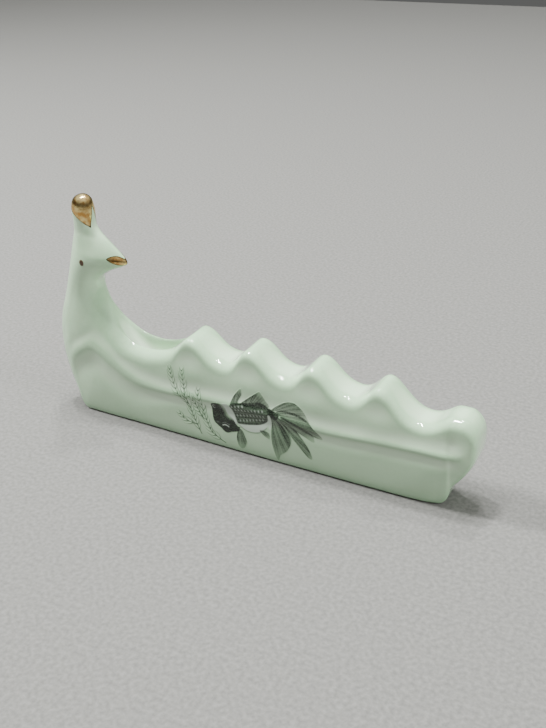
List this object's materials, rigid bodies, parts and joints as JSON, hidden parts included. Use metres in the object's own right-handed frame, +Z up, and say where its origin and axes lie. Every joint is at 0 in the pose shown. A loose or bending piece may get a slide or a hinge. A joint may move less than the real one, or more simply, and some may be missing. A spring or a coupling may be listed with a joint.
{
  "type": "brush rest",
  "caption": "Glazed porcelain rest for writing brushes, shaped as a crested bird with a boat-like body, a scooped trough and a humped back whose dips hold brush handles.",
  "frame": {"origin": "middle of the flat base, under the middle of the overall length", "axes": "+X from the neck to the tail along the body, +Z up, -Y is the side with the goldfish picture"},
  "size_m": [0.1376, 0.0156, 0.0707],
  "materials": {
    "celadon_glaze": "gloss",
    "gold_lustre": "gloss",
    "eye_enamel": "gloss",
    "ink_transfer": "satin",
    "weed_transfer": "satin"
  },
  "bodies": {
    "root": {"porcelain_body": "celadon_glaze", "crest_gilding": "gold_lustre", "beak_gilding_near": "gold_lustre", "beak_gilding_far": "gold_lustre", "eye_near": "eye_enamel", "eye_far": "eye_enamel", "goldfish_transfer": "ink_transfer", "waterweed_large_transfer": "weed_transfer", "waterweed_small_transfer": "weed_transfer"}
  },
  "joints": []
}
